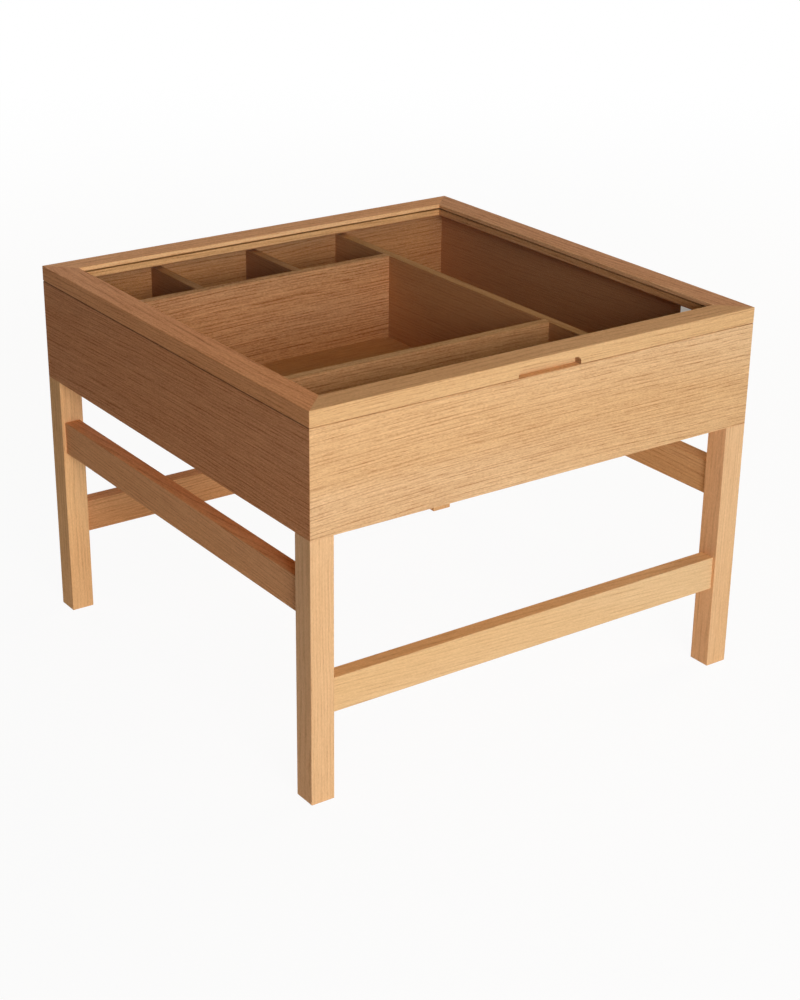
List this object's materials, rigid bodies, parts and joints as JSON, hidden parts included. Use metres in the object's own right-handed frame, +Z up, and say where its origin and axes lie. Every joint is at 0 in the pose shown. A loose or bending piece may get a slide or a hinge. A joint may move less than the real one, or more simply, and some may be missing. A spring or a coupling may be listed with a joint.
{
  "type": "coffee table",
  "caption": "Square oak display coffee table: a shallow divided box on stretchered legs, closed by a hinged lid with a glass pane.",
  "frame": {"origin": "on the floor, below the middle of the square top", "axes": "+Z up, -Y the front with the finger pull, +X to the right of someone who faces the front"},
  "size_m": [0.6, 0.5984, 0.45],
  "materials": {
    "oak_box": "satin clear oil",
    "oak_lid": "satin clear oil",
    "beech_joints": "raw",
    "glass": "clear float glass",
    "brass": "satin",
    "catch_plastic": "light grey",
    "steel": "zinc plated"
  },
  "bodies": {
    "table": {"wall_front": "oak_box", "wall_right": "oak_box", "wall_back": "oak_box", "wall_left": "oak_box", "floor_panel": "oak_box", "divider_long": "oak_box", "divider_back": "oak_box", "divider_front": "oak_box", "divider_small_left": "oak_box", "divider_small_right": "oak_box", "leg_front_left": "oak_box", "leg_front_right": "oak_box", "leg_back_right": "oak_box", "leg_back_left": "oak_box", "stretcher_front": "oak_box", "stretcher_right": "oak_box", "stretcher_back": "oak_box", "stretcher_left": "oak_box", "leg_dowels": "beech_joints", "wall_tongues": "beech_joints", "hinge_left_box_leaf": "brass", "hinge_right_box_leaf": "brass", "hinge_left_pin": "brass", "hinge_right_pin": "brass", "hinge_screws_box": "brass", "catch_housing": "catch_plastic", "catch_magnet": "steel", "catch_screws": "steel"},
    "lid": {"lid_rail_front": "oak_lid", "lid_rail_right": "oak_lid", "lid_rail_back": "oak_lid", "lid_rail_left": "oak_lid", "lid_tongues": "beech_joints", "glass_pane": "glass", "hinge_left_lid_leaf": "brass", "hinge_right_lid_leaf": "brass", "hinge_screws_lid": "brass", "strike_plate": "steel", "strike_screw": "steel"}
  },
  "joints": [
    {"name": "lid_hinge", "type": "hinge", "parent": "table", "child": "lid", "pos_m": [0, 0.299, 0.431], "axis": [-1, 0, 0], "range_deg": [0, 95]}
  ]
}
